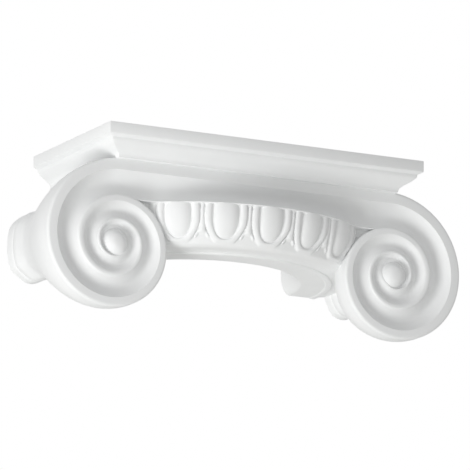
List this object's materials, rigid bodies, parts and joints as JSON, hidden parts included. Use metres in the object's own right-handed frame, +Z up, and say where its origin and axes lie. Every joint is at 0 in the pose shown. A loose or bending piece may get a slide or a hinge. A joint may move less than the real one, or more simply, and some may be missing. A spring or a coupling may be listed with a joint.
{
  "type": "ionic half capital",
  "caption": "Ionic half capital in primed hard foam: square abacus, two volutes with rolled bolsters, egg-and-dart echinus and a seat for a half shaft, made to be fixed flat on a wall.",
  "frame": {"origin": "On the wall face of the capital, on its middle line, halfway between the abacus top and the ceiling of the shaft seat.", "axes": "+X to the right of a person facing the wall, +Y from the front into the wall, +Z up."},
  "size_m": [0.4652, 0.1899, 0.1814],
  "materials": {
    "primed_foam": "smooth matt white primer"
  },
  "bodies": {
    "root": {"half_capital": "primed_foam"}
  },
  "joints": []
}
